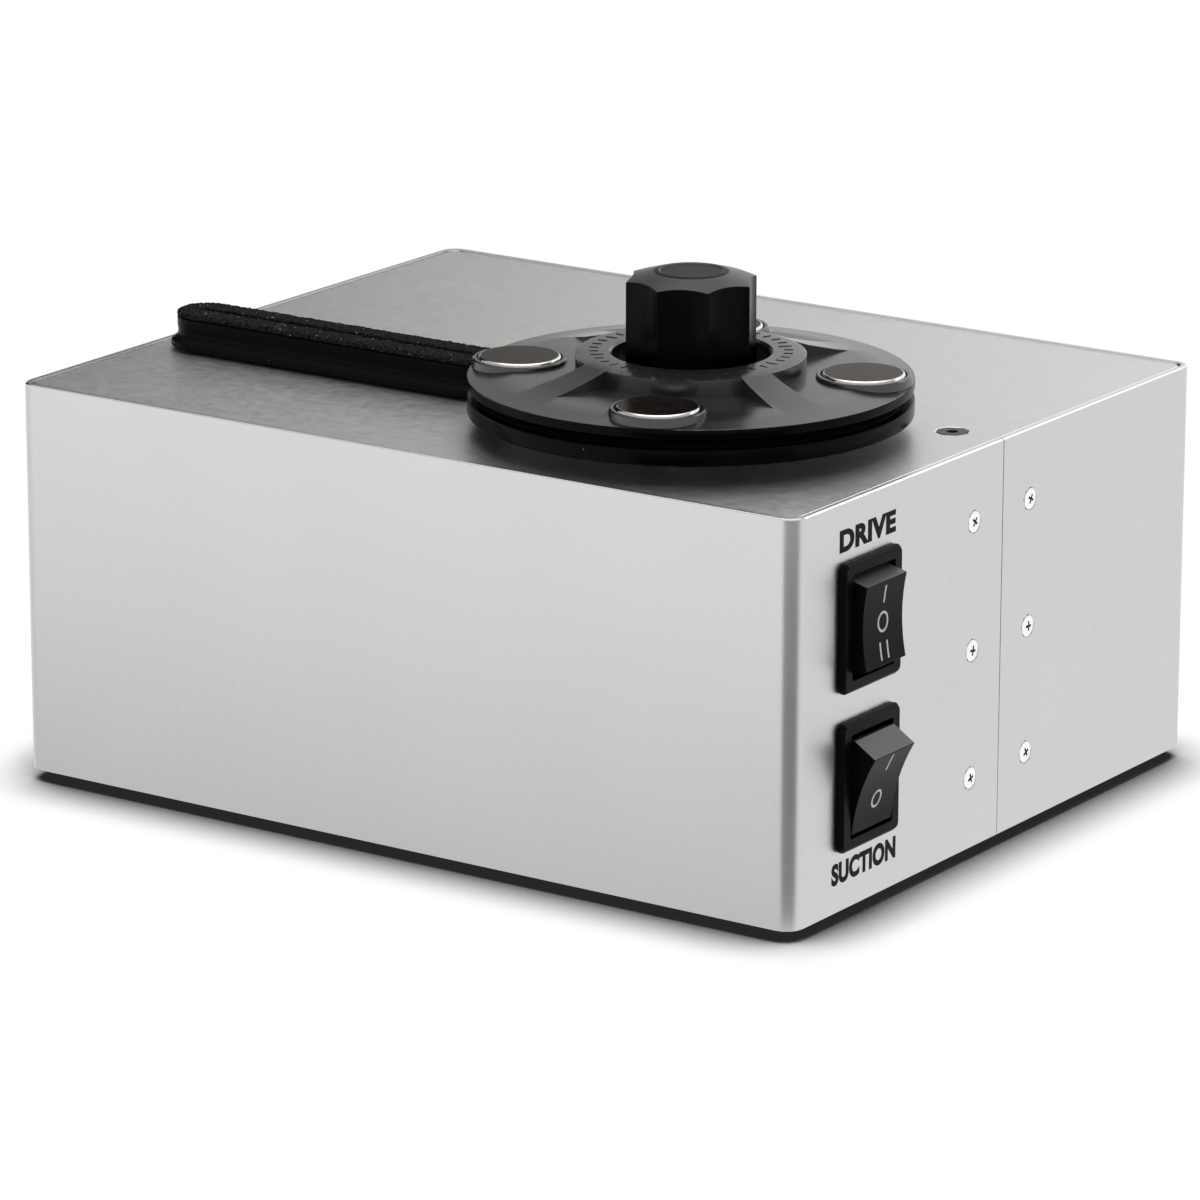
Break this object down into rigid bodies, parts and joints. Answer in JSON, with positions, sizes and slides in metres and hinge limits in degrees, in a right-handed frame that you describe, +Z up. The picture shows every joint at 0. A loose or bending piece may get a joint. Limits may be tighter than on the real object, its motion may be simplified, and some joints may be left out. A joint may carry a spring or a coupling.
{
  "type": "record cleaning machine",
  "caption": "Vacuum record cleaning machine: boxed metal case, slotted suction bar, label-sized turntable with screw-down label clamp, and two rocker switches.",
  "frame": {"origin": "middle of the footprint of the outer box, at the underside of the feet", "axes": "+Z up, +X to the side with the switches, +Y to the rear panel"},
  "size_m": [0.2434, 0.1846, 0.14],
  "materials": {
    "aluminium": "fine brushed and clear anodised",
    "steel": "zinc plated",
    "black_steel": "black powder coat",
    "nickel": "polished nickel plate",
    "brass": "turned",
    "bronze": "sintered bearing bronze",
    "gloss_black": "gloss black",
    "satin_black": "satin black",
    "charcoal": "fine moulded charcoal",
    "rubber": "matt black",
    "velvet": "black velvet",
    "tank_plastic": "translucent white",
    "board_green": "green lacquer",
    "iron": "dark coated motor iron"
  },
  "bodies": {
    "case": {"front_shell": "aluminium", "rear_shell": "aluminium", "deck_plate": "aluminium", "base_plate": "black_steel", "side_bracket_left": "steel", "side_bracket_right": "steel", "side_screw_left_front_bottom": "steel", "side_screw_left_front_middle": "steel", "side_screw_left_front_top": "steel", "side_screw_left_rear_bottom": "steel", "side_screw_left_rear_middle": "steel", "side_screw_left_rear_top": "steel", "side_screw_right_front_bottom": "steel", "side_screw_right_front_middle": "steel", "side_screw_right_front_top": "steel", "side_screw_right_rear_bottom": "steel", "side_screw_right_rear_middle": "steel", "side_screw_right_rear_top": "steel", "deck_screw_left": "black_steel", "deck_screw_right": "black_steel", "foot_front_left": "rubber", "foot_front_right": "rubber", "foot_rear_left": "rubber", "foot_rear_right": "rubber", "nozzle_body": "satin_black", "velvet_pad": "velvet", "waste_tank": "tank_plastic", "tank_lid": "satin_black", "suction_hose": "rubber", "fan_cover": "satin_black", "fan_housing": "satin_black", "vacuum_motor": "iron", "motor_saddle": "rubber", "motor_bracket": "steel", "gearbox": "steel", "gear_motor": "iron", "spindle_bush": "bronze", "drive_switch_body": "satin_black", "vacuum_switch_body": "satin_black", "mains_inlet": "satin_black", "circuit_board": "board_green", "transformer": "iron", "wiring_loom": "rubber"},
    "turntable": {"platter": "gloss_black", "platter_mat": "rubber", "spindle": "steel", "shaft_coupler": "brass", "drive_shaft": "steel"},
    "clamp": {"clamp_disc": "charcoal", "clamp_seal": "rubber", "magnet_1": "nickel", "magnet_2": "nickel", "magnet_3": "nickel", "magnet_4": "nickel"},
    "knob": {"clamp_knob": "gloss_black", "knob_insert": "brass"},
    "drive_toggle": {"drive_rocker": "satin_black"},
    "vacuum_toggle": {"vacuum_rocker": "satin_black"},
    "fan_wheel": {"impeller": "steel"},
    "plug": {"drain_plug": "rubber"}
  },
  "joints": [
    {"name": "platter_spin", "type": "hinge", "parent": "case", "child": "turntable", "pos_m": [0.04735, -0.03595, 0.1098], "axis": [0, 0, 1], "continuous": true},
    {"name": "clamp_lift", "type": "slide", "parent": "turntable", "child": "clamp", "axis": [0, 0, 1], "range_m": [0, 0.01]},
    {"name": "knob_turn", "type": "hinge", "parent": "clamp", "child": "knob", "pos_m": [0.04735, -0.03595, 0.12], "axis": [0, 0, 1], "range_deg": [0, 2880]},
    {"name": "drive_rocker_tilt", "type": "hinge", "parent": "case", "child": "drive_toggle", "pos_m": [0.11235, -0.06175, 0.0713], "axis": [0, 1, 0], "range_deg": [-11, 11]},
    {"name": "vacuum_rocker_tilt", "type": "hinge", "parent": "case", "child": "vacuum_toggle", "pos_m": [0.11235, -0.06175, 0.033], "axis": [0, 1, 0], "range_deg": [-36, 0]},
    {"name": "impeller_spin", "type": "hinge", "parent": "case", "child": "fan_wheel", "pos_m": [-0.05645, 0.02, 0.05125], "axis": [0, 1, 0], "continuous": true},
    {"name": "drain_plug_pull", "type": "slide", "parent": "case", "child": "plug", "axis": [-1, 0, 0], "range_m": [0, 0.012]}
  ],
  "couplings": [
    {"joint": "knob_turn", "follows": "clamp_lift", "rad_per_m": 5026.5}
  ]
}
